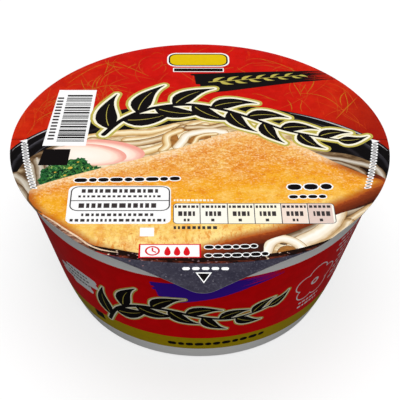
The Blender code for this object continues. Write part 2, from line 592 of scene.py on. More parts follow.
def tofu(ink):
    """Deep fried tofu: tan and speckled at the back, orange-gold in the middle, yellow in front."""
    x, y, _ = ink.split()
    level = ink.minus(y, ink.times(x, 0.16))
    depth = ink.spread(ink.plus(level, ink.swing(ink.noise(16.0, 3.0), 0.045)), -0.066, 0.002)
    tint = ink.ramp(depth, (
        (0.0, 253, 220, 134), (0.20, 250, 204, 102), (0.42, 245, 174, 34),
        (0.62, 243, 164, 30), (0.82, 238, 158, 52), (1.0, 240, 170, 80),
    ))
    blotch = ink.noise(5.5, 4.0, 0.62)
    tint = ink.dab(tint, blotch, 0.50, 0.70, 0.40, (255, 222, 128))
    tint = ink.dab(tint, blotch, 0.50, 0.32, 0.46, (226, 120, 14))
    back = ink.spread(depth, 0.45, 1.0)
    grain = ink.noise(1.7, 3.0, 0.8, (0.75, 1.35, 1.0), (0, 0, 0.45))
    strength = ink.plus(ink.times(back, 0.46), 0.20)
    tint = ink.dab(tint, grain, 0.52, 0.66, strength, (255, 230, 172))
    tint = ink.dab(tint, grain, 0.48, 0.34, strength, (212, 112, 26))
    fine = ink.noise(0.8, 1.0, 0.5)
    lively = ink.plus(ink.times(back, 0.26), 0.18)
    tint = ink.dab(tint, fine, 0.56, 0.68, lively, (255, 236, 190))
    tint = ink.dab(tint, fine, 0.42, 0.31, lively, (196, 96, 24))
    tint = ink.dab(tint, ink.noise(2.6, 2.0, 0.6), 0.36, 0.27, 0.55, (204, 100, 20))
    front = ink.spread(depth, 0.36, 0.0)
    streak = ink.noise(2.4, 3.0, 0.7, (1.6, 0.5, 1.0), (0, 0, -0.7))
    tint = ink.dab(tint, streak, 0.50, 0.62, ink.times(front, 0.85), (232, 144, 40))
    patch = ink.noise(3.4, 3.0, 0.65, (1.2, 0.8, 1.0), (0, 0, -0.5))
    tint = ink.dab(tint, patch, 0.50, 0.62, ink.times(front, 0.7), (255, 230, 150))
    behind = ink.spread(level, -0.0235, -0.016)
    crumbs = ink.times(ink.times(behind, ink.spread(ink.field(), 1.0, 0.1)), 0.8)
    tint = ink.dab(tint, ink.noise(1.1, 2.0, 0.7), 0.46, 0.58, crumbs, (255, 240, 212))
    rim = ink.minus(1.0, ink.spread(ink.field(), 0.0, 0.75))
    rim = ink.times(rim, ink.minus(0.92, ink.times(behind, 0.3)))
    return ink.mix(rim, tint, ink.mix(behind, (176, 84, 26), (247, 206, 150)))


def tofu_side(ink):
    """The tofu's side: orange-brown at its upper edge and dark below."""
    grain = ink.noise(1.6, 4.0, 0.7, (1.0, 1.6, 1.0), (0, 0, -0.45))
    return ink.ramp(ink.plus(ink.field(), ink.swing(grain, 0.55)), (
        (0.0, 184, 90, 32), (0.14, 146, 62, 24), (0.40, 124, 48, 18), (0.75, 98, 36, 14), (1.0, 56, 22, 12),
    ))


def slate(ink):
    """The pictured bowl's outer wall: mottled blue-grey, with a few pale specks."""
    tint = ink.mix(ink.spread(ink.noise(7.0, 3.0), 0.3, 0.7), (46, 44, 58), (62, 60, 72))
    mottle = ink.noise(0.9, 2.0, 0.6)
    tint = ink.dab(tint, mottle, 0.54, 0.68, 0.5, (88, 86, 98))
    tint = ink.dab(tint, mottle, 0.44, 0.32, 0.4, (30, 28, 42))
    specks = ink.noise(0.9, 1.0, 0.5, (1.0, 1.0, 1.0), (0.2, 0.5, 0.9))
    return ink.dab(tint, specks, 0.74, 0.80, 0.7, (176, 170, 180))


def brushed(ink, tint, pale):
    """Dense brush ink with a dry, scratched texture here and there."""
    scratch = ink.noise(1.0, 3.0, 0.7, (0.16, 1.2, 1.2), (0, 0, 0.15))
    return ink.dab(tint, scratch, 0.66, 0.76, 0.5, pale)


def streaked(ink, dark, light):
    """Soft reflections drawn out along a glazed edge."""
    return ink.mix(ink.spread(ink.noise(1.5, 4.0, 0.7, (0.45, 1.5, 1.0)), 0.42, 0.68), dark, light)


def make_inks():
    """All the materials, by the short names that the prints use."""
    recipes = [(name, plain, values) for name, values in PLAIN_INKS.items()]
    recipes += [(name, noodle, stops) for name, stops in NOODLE_INKS.items()]
    recipes += [
        (paint.__name__, paint, ())
        for paint in (washi, wall_red, lacquer, bed, fish_cake, greens, tofu, tofu_side, slate)
    ]
    recipes += [
        ("black", brushed, ((10, 5, 6), (34, 26, 28))),
        ("violet", brushed, ((62, 20, 160), (88, 50, 170))),
        ("rim_brown", streaked, ((16, 4, 2), (118, 52, 34))),
        ("rim_peach", streaked, ((110, 66, 46), (206, 164, 138))),
    ]
    inks = {}
    for name, paint, values in recipes:
        finish = Finish("print_" + name)
        inks[name] = finish.printed(paint(finish, *values))
    return inks


# The lid's form

def edge_radius(turn):
    """The lid's outline: its radius at an angle from the pull tab's middle line, as in the CAD."""
    turn = abs(turn)
    apex = FLANK_DISTANCE / math.cos(FLANK_ANGLE)
    tip_centre = apex - TIP_RADIUS / math.cos(FLANK_ANGLE)
    tip_end = math.atan2(
        TIP_RADIUS * math.sin(FLANK_ANGLE), tip_centre + TIP_RADIUS * math.cos(FLANK_ANGLE)
    )
    if turn < tip_end:
        return tip_centre * math.cos(turn) + math.sqrt(TIP_RADIUS**2 - (tip_centre * math.sin(turn)) ** 2)
    if turn < FLANK_ANGLE:
        return FLANK_DISTANCE / math.cos(FLANK_ANGLE - turn)
    if turn < FLANK_ROOT_ANGLE:
        left = (FLANK_ROOT_ANGLE - turn) / (FLANK_ROOT_ANGLE - FLANK_ANGLE)
        return LID_RADIUS + (FLANK_DISTANCE - LID_RADIUS) * left * left * (3 - 2 * left)
    return LID_RADIUS


def lid_height(x, y):
    """The lid's upper surface: flat over the bowl with faint waves, raised on the rim, then turned down."""
    radius = np.hypot(x, y)
    share = np.clip((radius - SEAL_START) / (SEAL_END - SEAL_START), 0, 1)
    seal = SEAL_RISE * share * share * (3 - 2 * share)
    wave = np.sin(x / 11.0 + 0.6) * np.cos(y / 14.0 - 0.4) + 0.6 * np.sin((x + 2 * y) / 19.0)
    past = np.maximum(0.0, radius - TURN_DOWN_RADIUS)
    fall = TURN_DOWN_SLOPE * (np.hypot(past, TURN_DOWN_BEND) - TURN_DOWN_BEND)
    flat = np.clip((SEAL_START - radius) / SAG_FADE, 0, 1)
    return LID_TOP - SEAL_RISE + seal + SAG_WAVES * wave * flat - fall


def lid_normals(x, y):
    """The upper surface's normals, from its slopes over a short step both ways."""
    step = 0.05
    slope_x = (lid_height(x + step, y) - lid_height(x - step, y)) / (2 * step)
    slope_y = (lid_height(x, y + step) - lid_height(x, y - step)) / (2 * step)
    normals = np.stack([-slope_x, -slope_y, np.ones_like(slope_x)], axis=-1)
    return normals / np.linalg.norm(normals, axis=-1, keepdims=True)


def lid_outline():
    """The lid's edge, with its points closer together round the tab."""
    turns = [math.radians(a) for a in np.arange(-180.0, 180.0, EDGE_DEGREES)]
    turns += [math.radians(k * EDGE_DEGREES) for k in np.arange(-3.5, 4.0)]
    turns.sort()
    return [(edge_radius(t) * math.sin(t), -edge_radius(t) * math.cos(t)) for t in turns]


def lid_guides():
    """A triangular grid over the flat middle, and rings where the lid bends."""
    points = []
    rows = int(SEAL_START / GRID_PITCH) + 1
    for row in range(-rows, rows + 1):
        for column in range(-rows, rows + 1):
            x = GRID_PITCH * (column + 0.5 * (row % 2))
            y = GRID_ROW_PITCH * row
            if math.hypot(x, y) < SEAL_START - 1:
                points.append((x, y))
    turns = np.arange(0, 2 * math.pi, RING_STEP)
    for radius in (SEAL_START, (SEAL_START + SEAL_END) / 2, SEAL_END, TURN_DOWN_RADIUS):
        points += [(radius * math.sin(turn), radius * math.cos(turn)) for turn in turns]
    for turn in np.arange(-math.pi, math.pi, TURN_DOWN_STEP):
        reach = edge_radius(turn) - TURN_DOWN_RADIUS
        for share in (0.12, 0.3, 0.5, 0.72):
            radius = TURN_DOWN_RADIUS + reach * share
            points.append((radius * math.sin(turn), -radius * math.cos(turn)))
    return points


# The lid's print

# The pictured bowl: its centre and half axes, the glints on it, each by its share of them, its start and
# end in degrees, half width and ink, and the outline of what fills it
PICTURED_BOWL = (0.0, -21.0, 74.5, 46.5)
GLINTS = (
    (0.985, 20, 62, 0.34, "glint"), (0.985, 118, 160, 0.26, "glint"), (0.93, 14, 50, 0.22, "dim_glint"),
    (0.93, 128, 164, 0.30, "dim_glint"), (0.86, 136, 168, 0.22, "dim_glint"),
)
BED_OUTLINE = (
    (-70, -23), (-66.7, -20.8), (-63.6, -12), (-58.6, -6), (-52, -1), (-42, 4.5), (-18, 9.5), (-8, 13),
    (4, 15), (16, 14), (30, 8), (39, -1), (45, -5.2), (55.3, -8), (63, -13.2), (65.6, -18), (66.4, -24),
    (66, -40), (36, -62), (24, -66), (21, -58), (10, -62), (-30, -60), (-56, -40),
)
DARK_GAP = ((57.6, -15.2), (61, -16), (62, -19.6), (60.4, -21.6), (58.2, -18.8))

# Noodles, back ones first: a half width, an ink and the points of a middle line for each
NOODLES = (
    (1.9, "noodle", (-46, 1.5), (-36, 4.6), (-27, 6.2), (-18, 6.6), (-9, 10.6)),
    (2.3, "noodle", (-27, 1), (-18, 2.4), (-9, 7.4), (0, 12), (9, 13.6), (22, 10.6)),
    (1.9, "noodle_tan", (-40, 1.5), (-30, -1.2), (-20, 0.2), (-12, 4), (-6, 9.5)),
    (2.0, "noodle", (-24, -7.5), (-17, -4.5), (-12, -1.6), (-8, 2), (-5, 6.4), (2, 11)),
    (1.2, "broth", (-9.4, 7.6), (-6, 8.4), (-1, 9.0), (4, 8.6)),
    (1.3, "noodle_tan", (14, 10.6), (9, 11.4), (4, 9.6), (0, 10), (-4.6, 9.4)),
    (1.6, "broth", (-10.2, 4.0), (-9.6, 1.6), (-9.6, -1.0)),
    (1.5, "noodle", (-7.4, 7.6), (-11.6, 5.0), (-12.6, 1.6), (-12.2, -2), (-14, -5)),
    (1.5, "broth", (2.6, 3.4), (-0.6, 3.0), (-3.2, 0.6)),
    (1.7, "noodle_pale", (9, 6.6), (4.4, 7.4), (-0.4, 6.6), (-4.8, 4.6), (-6.4, 0.8), (-8.4, -3)),
    (0.9, "noodle", (-14, -6.6), (-8, -4.8), (-3.6, -3.2), (-1.8, 0.2), (-0.6, 3.2), (2.4, 4.8), (6, 5.2)),
    (1.9, "noodle_dim", (-57.6, -32), (-58.6, -25), (-60.2, -20), (-61.2, -14.6)),
    (2.0, "noodle_dim", (-56, -29), (-56.6, -22), (-57.6, -16), (-59.0, -11.4)),
    (1.9, "noodle_pearl", (-56, -24), (-54, -18), (-54.6, -12), (-52, -6)),
    (1.8, "noodle_dim", (-52, -10), (-53.4, -5.6), (-50, -1.4), (-45, 1.4)),
    (1.9, "noodle_dim", (-59, -33), (-61.4, -28), (-63.2, -24.0), (-66.4, -20.4)),
    (1.8, "noodle_dim", (-60.4, -36), (-63, -31), (-65.4, -27), (-69, -25)),
    (1.5, "noodle_pearl", (43, -8), (46.9, -10.0), (51, -10.9), (55.3, -12.4), (59.5, -14.0), (62.9, -16),
     (64.6, -19), (64.8, -24)),
    (1.3, "noodle_dusk", (45, -12), (49.6, -12.6), (53.2, -14.4), (56.2, -16.4), (58.4, -19)),
    (2.0, "noodle_dusk", (48, -43), (54, -40.4), (60, -36.4), (66, -30)),
    (2.3, "noodle_tan", (44, -58), (50, -52.5), (55, -47), (60, -41), (66, -34)),
    (1.5, "noodle_tan", (46.6, -49), (51, -45.8), (55, -42.2), (59, -38.6), (64, -34)),
    (2.2, "noodle_dusk", (27.6, -57.0), (33, -53.6), (37.4, -50.6), (40.6, -47.6), (44, -44.6)),
    (2.2, "noodle_tan", (38, -61), (43, -57), (47.4, -52.6), (50.6, -47.4)),
    (3.2, "noodle_pale", (31, -60.8), (34.2, -57.2), (38.2, -54.6), (41.8, -51.2), (45, -46.6), (47.2, -41)),
    (1.9, "noodle_pale", (20.8, -66), (21.6, -62), (23.2, -58.0), (26.5, -56.0), (30, -57.0), (33, -60.4),
     (34, -64)),
    (1.3, "broth", (25.6, -65.6), (26.8, -61.9), (29.2, -61.2), (30.8, -64)),
)

# The fried tofu's top, as its back, front and left edges, and its side below the front edge: how far the
# side's tint reaches down and the rim's reaches in, and the height from which the top is drawn in
TOFU_BACK = (
    (-60.5, -31), (-60, -29), (-57, -26.2), (-50, -22.4), (-35, -15.7), (-20, -9.3), (-8, -3.8), (5, 3.4),
    (12, 6.6), (19, 8.2), (26, 6.4), (33, 1.6), (40, -4.6), (50.3, -13.6), (59.5, -20.4), (65, -23.9),
)
TOFU_FRONT = (
    (67, -23.2), (62, -27.2), (54, -33.1), (46, -38.1), (38, -44.5), (30, -49.4), (22, -52.6),
    (12.6, -55.6), (2, -60.5), (-8, -66.4),
)
TOFU_LEFT = (
    (-20, -66.2), (-32, -62), (-38, -58.9), (-42.3, -54.6), (-49.7, -47.7), (-55.2, -42.8), (-58.8, -37.2),
    (-60.4, -33.4),
)
TOFU_SIDE = (
    (60, -20), (66.4, -23), (67, -26.4), (62, -34), (56.5, -38.4), (46.3, -43.1), (37, -48.9),
    (30.2, -52.8), (21.9, -56.9), (20.4, -62), (20, -68), (4, -71), (-8, -68), (0, -56), (20, -48), (45, -34),
)
TOFU_SIDE_DEPTH, TOFU_RIM = 5.6, 5.6
TOFU_MIDDLE = -28

# Fish cake slices, back one first: centre, half axes and turn of the outside and of the pale inside
FISH_CAKES = (
    ((-34.0, -5.2, 14.0, 6.5, -12.0), (-35.6, -6.0, 12.4, 5.2, -12.0)),
    ((-40.0, -7.7, 13.2, 6.5, -8.0), (-42.6, -8.0, 12.6, 5.7, -8.0)),
)

GREENS_OUTLINE = (
    (-57.4, -26.0), (-57.6, -21), (-56.4, -16.2), (-53, -14), (-50, -13.6), (-48.4, -11.2), (-45, -10.0),
    (-42.6, -10.2), (-41, -12.0), (-39.4, -14.4), (-36.4, -15.2), (-36.2, -16.6), (-40, -18.4), (-46, -20.6),
    (-52, -23.6),
)
LEEK_INKS = ("leek_dark", "leek", "leek_dark", "leek_pale", "leek", "leek_dark", "leek_bright")
LEEK_PIECES = 230
YELLOW_BITS = (
    (-47, -16, 0.95), (-48.6, -20.4, 0.6), (-44.4, -12.4, 0.5), (-52.2, -18.6, 0.5), (-40.6, -16, 0.45),
)

# The pictured bowl's near side: the slate's upper edge and the rest of its outline, the lip with its half
# widths, and, each by half widths, an ink and points, the soft light at the lip's left, the shade there and
# the thin line of light. Then the number of spots on the lip, and where the slate's spots are
NEAR_RIM = (
    (-59.4, -42.8), (-55.6, -45.6), (-50.6, -50.0), (-46, -54.4), (-41, -59.4), (-36.4, -62.0),
    (-29, -64.6), (-22.2, -66.4), (-16.7, -67.4), (-9.9, -68.0), (1.5, -68.4), (10.5, -68.1),
    (19.6, -66.5), (26.9, -64.5), (33.3, -62.2), (38.2, -60.2), (45, -57), (54, -50),
)
SLATE_FOOT = ((60, -60), (50, -90), (-50, -90), (-66, -60))
LIP = (
    (-37.4, -59.6), (-33, -61.6), (-28, -63.2), (-20, -65.3), (-10, -66.7), (0, -67.2), (10, -66.9),
    (20, -65.5), (30, -62.9), (38, -59.5), (45, -55.4),
)
LIP_HALVES = (0.5, 1.3, 1.6, 1.6, 1.5, 1.4, 1.4, 1.25, 1.1, 0.8, 0.3)
LEFT_LIGHT = (
    (1.0, 1.3, 1.2, 0.9), "rim_peach",
    (-58.6, -42.2), (-54.6, -45.0), (-49.6, -49.4), (-45, -53.6), (-40, -57.8), (-36, -60.6),
)
LEFT_SHADE = ((0.3, 0.4, 0.2), "noodle_shade", (-60.6, -31.4), (-60.4, -34.6), (-58.2, -38.6), (-55.2, -41.8))
THIN_LIGHT = (
    (0.18, 0.3, 0.34, 0.28, 0.12), "rim_light",
    (-54.6, -43.0), (-50.4, -46.8), (-46.6, -50.6), (-42, -54.8), (-38, -58.8), (-33.6, -61.4), (-28, -63.0),
)

LIP_SPOTS = 40
SLATE_SPOTS = ((-26, -67.6), (-24, -66.9), (-19.6, -69.2))

# The leaning label with the bars: its foot and top, its outline and that of the black square below it,
# where its ticks' and bars' sides start and drift to, and the bars' heights and gaps to draw from
LABEL_LOW, LABEL_HIGH = -2.3, 35.2
LABEL = ((-58.2, LABEL_LOW), (-42.2, LABEL_LOW), (-40.0, LABEL_HIGH), (-54.6, LABEL_HIGH))
LABEL_SQUARE = ((-58.8, -14.4), (-48.2, -14.4), (-47.6, -4.4), (-57.4, -4.4))
TICK_SIDE, BAR_SIDES = (-57.0, 2.7), ((-53.4, 2.6), (-43.2, 2.0))
BARS_LOW, BARS_HIGH = 0.4, 30.6
BAR_HEIGHTS, BAR_GAPS = (0.4, 0.4, 0.55, 0.8, 1.2), (0.35, 0.35, 0.5, 0.7)
TICKS, TICK_LOW, TICK_PITCH = 14, 1.6, 2.1

# The panel's boxes, as lay_boxes takes them, with the small square below it, and the rows of dashes in it:
# height, ends, half height and longest dash
PANEL_BOXES = (
    (-46.6, -48.0, -10.6, -26.6, 2.6, "white"), (-45.8, -40.9, -10.9, -26.9, 3.0, "line"),
    (-45.35, -40.45, -11.35, -27.35, 2.6, "white"), (-45.6, -35.35, -11.0, -34.9, "line"),
)
SMALL_SQUARE = (-21.0, -54.6, -16.2, -50.0, "white")
PANEL_ROWS = (
    (-29.6, -42, -14.2, 1.05, 2.0), (-32.7, -43, -13.2, 0.6, 1.4), (-37.9, -42.6, -14.6, 1.3, 2.4),
    (-43.0, -41.4, -16.6, 0.75, 1.6), (-46.0, -45.2, -12.4, 0.75, 1.6),
)

# The table: its foot and top, its cells' edges and inks, and the rows of dashes in each cell by height,
# half length, half height and longest dash
TABLE_LOW, TABLE_HIGH = -48.0, -36.6
TABLE_EDGES = (-9.8, -0.5, 9.0, 18.3, 27.6, 36.8, 46.2)
TABLE_INKS = ("table_1", "table_2", "table_2", "table_3", "table_4")
TABLE_ROWS = ((-38.5, 4.1, 0.7, 1.4), (-42.4, 2.9, 1.3, 1.5), (-45.9, 1.0, 0.75, 1.2))

# The red frame, the clock's centre, where the drops are, and a drop's outline round x = 0
RED_FRAME = ((-21.2, -65.8, -0.4, -58.6, "signal"), (-20.6, -65.3, -1.0, -59.1, "white"))
CLOCK = (-16.6, -62.2)
DROPS = (-11.6, -8.4, -5.2)
DROP = ((0, -60.0), (1.0, -62.4), (0.9, -64.0), (0, -64.7), (-0.9, -64.0), (-1.0, -62.4))

# The badge's boxes, with the bar below it, and the brush mark and the sprig on it
BADGE_BOXES = (
    (-12.6, 52.6, 12.6, 63.0, 3.6, "white"), (-12.0, 53.2, 12.0, 62.4, 3.2, "black"),
    (-11.4, 53.8, 11.4, 61.8, 2.8, "yellow"), (-10.2, 48.6, 10.2, 51.6, 0.4, "white"),
    (-9.8, 49.0, 9.8, 51.2, 0.3, "black"),
)
BRUSH_MARK = ((-3, 39.8), (10, 41.2), (24, 43.2), (40, 45.2), (57, 46.6))
BRUSH_MARK_HALVES = (7.2, 6.6, 5.4, 4.0, 3.0)
SPRIG = ((4, 41.2), (14, 42.4), (26, 44.1), (40, 46))

# Rows of round dashes on the lid: a line, half width, lengths in turn, gap and white outline for each
ROUND_ROWS = (
    (((-45, -23.4), (-32, -23.0), (-20, -22.8), (-7, -22.2)), 1.1, (2.4, 0.7, 1.5), 0.5, 0.5),
    (((30.6, -27.4), (46.6, -27.0)), 1.6, (1.8, 1.8, 0.9), 0.9, 0.55),
    (((30.8, -33.0), (46.4, -32.7)), 0.95, (1.3, 0.7), 0.5, 0.45),
    (((0.8, -60.3), (11, -60.1), (19.6, -59.5)), 0.85, (1.3, 0.5), 0.4, 0.36),
    (((0.8, -64.6), (13, -64.4), (24.6, -63.4)), 0.85, (0.6, 1.5), 0.4, 0.36),
)

# The tab's dashes by number, place, pitch and length, its arrow by middle and size, and the number and
# pitch of the dashes at the lid's sides
TAB_DASHES, TAB_DASH_START, TAB_DASH_PITCH, TAB_DASH_LENGTH = 5, (-6.1, -70.8), 3.2, 1.3
ARROW, ARROW_SIZE = (0.3, -74.1), 2.7
EDGE_DASHES, EDGE_DASH_PITCH = 16, 1.75

# The leafy branch: its middle line on the lid and on the side, the space between its leaves, their
# lengths and half widths from first to last, how far they stand off it and bend, and how they widen
BRANCH = ((-36, 5), (-29, 15), (-18, 22.5), (-4, 25), (9, 21.5), (21, 15), (32, 8), (43, 4), (52, 1.5))
SIDE_BRANCH = ((-37, 15), (-31, 25), (-22, 31), (-11, 32), (0, 29), (10, 27), (19, 28.5), (27, 31))
LEAF_SPACE = 7.4
LEAF_LENGTHS = (24.0, 11.5)
LEAF_HALF_WIDTHS = (4.3, 2.5)
LEAF_SPREAD, LEAF_BEND = 54.0, 26.0
LEAF_WIDTHS = (0.12, 0.55, 0.88, 1.0, 0.96, 0.84, 0.66, 0.46, 0.28, 0.14, 0.04)
TWIG_HALF_WIDTH = 0.75

# Bundles of hairs in the red paper: start, heading in degrees, its spread and the number of hairs
FIBRE_BUNDLES = (
    (-39, 33, 92, 10, 14), (-37, 46, 84, 14, 10), (-60, 20, 58, 14, 12), (-54, 33, 76, 16, 10),
    (-24, 46, 132, 14, 9), (2, 62, 70, 30, 5), (22, 52, 40, 22, 6), (40, 30, 62, 18, 6),
    (52, 16, 74, 16, 9), (60, 14, 100, 14, 6), (34, 54, 120, 20, 5), (-8, 54, 96, 24, 6),
    (-64, 8, 74, 12, 8),
)
LOOSE_FIBRES = 90

SHORTEST_DASH = 0.6
BRUSH_SLANT = 0.08


def branch_leaves(line, space, lengths, halves):
    """A line and half widths for leaves on one side of a branch and the other in turn, and at its end."""
    points = np.array(line)
    along = reaches(points)
    ways = np.gradient(points, axis=0)
    leaves = []
    side = 1
    reach = space * 0.6
    while reach < along[-1] + space * 0.4:
        place = min(reach, along[-1])
        x, y, way_x, way_y = (np.interp(place, along, part) for part in (*points.T, *ways.T))
        share = place / along[-1]
        last = reach + space >= along[-1] + space * 0.4
        heading = math.degrees(math.atan2(way_y, way_x)) + (0.0 if last else side * LEAF_SPREAD)
        length, half = (first + (end - first) * share for first, end in (lengths, halves))
        leaf = leaf_line(x, y, heading, length, -side * LEAF_BEND)
        leaves.append((leaf, [half * width for width in LEAF_WIDTHS]))
        side = -side
        reach += space
    return leaves


def lay_branch(sheet, points, space, lengths, halves, outlines, twig=TWIG_HALF_WIDTH):
    """A leafy branch in black with gold midribs, and wide gold and cream outlines round all of it."""
    line = curve(points, 8)
    leaves = branch_leaves(line, space, lengths, halves)
    for grow, ink in zip((*outlines, 0.0), ("gold", "cream", "black")):
        for path, widths in ((line, [twig * 1.3, twig, twig * 0.5]), *leaves):
            sheet.trace(path, widths, ink, grow=grow)
    for leaf, _ in leaves:
        sheet.trace(leaf[1:8], [0.16, 0.13, 0.05], "gold", 3)


def lay_brush_band(sheet, line, half_widths, ink, seed, bristles=15, end_reach=0.22):
    """A dry brush mark: bristles side by side that start and end unevenly and thin out at the end."""
    draw = random.Random(seed)
    middle = np.array(curve(line, 8))
    sides = left_sides(middle)
    share = np.linspace(0, 1, len(middle))
    half = spaced(half_widths, len(middle))
    for number in range(bristles):
        place = 2 * (number + 0.5) / bristles - 1
        start = BRUSH_SLANT * (1 - place) / 2 + draw.uniform(0, 0.03)
        end = 1 - draw.uniform(0, end_reach) * (0.25 + abs(draw.uniform(-0.75, 0.75)))
        kept = (share >= start) & (share <= end)
        width = half[kept] / bristles * 1.3
        width[-6:] *= np.linspace(0.9, 0.2, 6)
        sheet.trace(middle[kept] + sides[kept] * (half[kept] * place)[:, None], width, ink, 3)


def wander(draw, x, y, heading, length, bend=26, steps=12):
    """A hair that leaves a point with a heading and bends now one way and now the other."""
    points = [(x, y)]
    turn = draw.uniform(-bend, bend)
    for _ in range(steps):
        turn += draw.uniform(-bend, bend) * 0.6
        heading += turn / steps * 2.2
        x += length / steps * math.cos(math.radians(heading))
        y += length / steps * math.sin(math.radians(heading))
        points.append((x, y))
    return points


def lay_fibres(sheet):
    """Gold hairs of the red paper, clear of the pictured bowl: some in loose bundles, others on their own."""
    draw = random.Random(11)
    starts = []
    for x, y, heading, spread, count in FIBRE_BUNDLES:
        along = math.radians(heading)
        for _ in range(count):
            reach = draw.uniform(-7, 7)
            u = x + reach * math.cos(along) + draw.gauss(0, 2.4)
            v = y + reach * math.sin(along) + draw.gauss(0, 2.4)
            starts.append((u, v, heading + draw.gauss(0, spread), draw.uniform(10, 28)))
    for _ in range(LOOSE_FIBRES):
        x, y = draw.uniform(-66, 66), draw.uniform(8, 68)
        starts.append((x, y, draw.uniform(20, 160), draw.uniform(5, 16)))
    bowl = radial(*PICTURED_BOWL)
    for number, start in enumerate(starts):
        line = wander(draw, *start)
        if (np.hypot(*np.transpose(line)) < LID_RADIUS - 1).all() and (bowl(line) > 1).all():
            half = draw.uniform(0.11, 0.22)
            sheet.trace(line, [0.06, half, half, 0.06], "fibre_faint" if number % 3 else "fibre", 3)


def lay_pictured_bowl(sheet):
    """The black bowl on the print: its inner wall, rim lines, broth and noodles."""
    x, y, half_width, half_depth = PICTURED_BOWL
    sheet.lay(ellipse(*PICTURED_BOWL, 0, 90), "lacquer", radial(*PICTURED_BOWL))
    for share, start, end, half, ink in GLINTS:
        line = ellipse(x, y, half_width * share, half_depth * share, 0, 24, start, end)
        sheet.trace(line, [0.05, half, half, 0.05], ink, 3)
    sheet.lay(loop(BED_OUTLINE), "bed")
    sheet.lay(loop(DARK_GAP), "umber")
    for half, ink, *points in NOODLES:
        line = curve(points, 5)
        edge = "noodle_gap" if ink in ("noodle", "noodle_pale") else "noodle_shade"
        sheet.trace(line, [half + 0.2] * 2, edge)
        for share in (1.0, 0.7, 0.4, 0.1):
            sheet.trace(line, [half * share] * 2, ink, field=across(line, half))


def lay_toppings(sheet):
    """The pictured slices of fish cake, and chopped greens with a few yellow bits."""
    for outside, pale in FISH_CAKES:
        field = radial(*pale)
        x, y, half_across, half_along, turn = pale
        sheet.lay(ellipse(*outside), "fish_cake", field)
        for share in (1.0, 0.9, 0.7, 0.4):
            sheet.lay(ellipse(x, y, half_across * share, half_along * share, turn), "fish_cake", field)
    draw = random.Random(5)
    shape = loop(GREENS_OUTLINE)
    sheet.lay([(x + draw.uniform(-0.5, 0.5), y + draw.uniform(-0.5, 0.5)) for x, y in shape], "greens")
    for number in range(LEEK_PIECES):
        x, y = draw.uniform(-57, -37), draw.uniform(-26, -10.5)
        heading, length = draw.uniform(0, 180), draw.uniform(0.9, 2.2)
        line = leaf_line(x, y, heading, length, draw.uniform(-90, 90))[::2]
        half = draw.uniform(0.16, 0.36)
        if all(inside(shape, u, v) for u, v in line):
            sheet.trace(line, [half, half, half * 0.3], LEEK_INKS[number % len(LEEK_INKS)], 3)
    for x, y, size in YELLOW_BITS:
        sheet.lay(ellipse(x, y, size, size * 0.7, 30, 12), "leek_yellow")


def lay_tofu(sheet):
    """The pictured fried tofu: its side, and its top in three outlines, each drawn further in."""
    edge = curve(TOFU_FRONT, 4)
    sheet.lay(loop(TOFU_SIDE), "tofu_side", lambda points: segment_places(points, edge)[0] / TOFU_SIDE_DEPTH)
    top = loop((*TOFU_BACK, *TOFU_FRONT[1:], *TOFU_LEFT))
    for share in (0.0, 1.0, 2.2):
        wide, deep = 1 - 0.022 * share, 1 - 0.045 * share
        outline = [(x * wide, (y - TOFU_MIDDLE) * deep + TOFU_MIDDLE) for x, y in top]
        sheet.lay(outline, "tofu", inset(top, TOFU_RIM))


def lay_near_rim(sheet):
    """The pictured bowl's near side: its lip, pale and dark in turn, and the slate outer wall below."""
    sheet.lay([*curve(NEAR_RIM, 5), *SLATE_FOOT], "slate")
    dark = ([half * 0.6 for half in LIP_HALVES], "umber", *[(x, y + 0.4) for x, y in LIP])
    for widths, ink, *line in (LEFT_LIGHT, LEFT_SHADE, (LIP_HALVES, "rim_brown", *LIP), dark):
        sheet.trace(curve(line, 5), widths, ink)
    draw = random.Random(21)
    for number in range(LIP_SPOTS):
        x = draw.uniform(-33, 37)
        y = float(np.interp(x, *zip(*LIP))) + draw.uniform(-1.7, 1.4)
        size = draw.uniform(0.10, 0.24)
        spot = ellipse(x, y, size * 1.8, size, draw.uniform(-30, 30), 10)
        sheet.lay(spot, "bokeh" if number % 5 else "rim_light")
    for x, y in SLATE_SPOTS:
        sheet.lay(ellipse(x, y, 0.35, 0.25, 0, 10), "bokeh")
    widths, ink, *line = THIN_LIGHT
    sheet.trace(curve(line, 5), widths, ink)


def lay_dashes(sheet, left, right, height, half, ink, seed, longest, gap):
    """A row of plain dashes of uneven length."""
    draw = random.Random(seed)
    x = left
    while x < right - SHORTEST_DASH:
        end = min(x + draw.uniform(0.45, 1.0) * longest, right)
        sheet.lay(box(x, height - half, end, height + half), ink)
        x = end + gap


def lay_round_dashes(sheet, line, half, lengths, gap, outline=0.0):
    """Plain black dashes with round ends along a line, long and short in turn, some with white outlines."""
    points = np.array(curve(line, 12))
    along = reaches(points)
    dashes = []
    start = half
    while start + lengths[len(dashes) % len(lengths)] < along[-1]:
        end = start + lengths[len(dashes) % len(lengths)]
        places = np.linspace(start, end, 3)
        dashes.append(np.stack([np.interp(places, along, part) for part in points.T], axis=1))
        start = end + 2 * half + gap
    edges = ((outline, "white"),) if outline else ()
    for grow, ink in (*edges, (0.0, "black")):
        for dash in dashes:
            sheet.trace(dash, [half, half], ink, 4, grow)


def lay_panel(sheet):
    """A white panel with rules and rows of dashes, and a small white square below it."""
    sheet.lay_boxes(*PANEL_BOXES)
    for number, (height, left, right, half, longest) in enumerate(PANEL_ROWS):
        lay_dashes(sheet, left, right, height, half, "line", 40 + number, longest, 0.7)
    sheet.lay_boxes(SMALL_SQUARE)


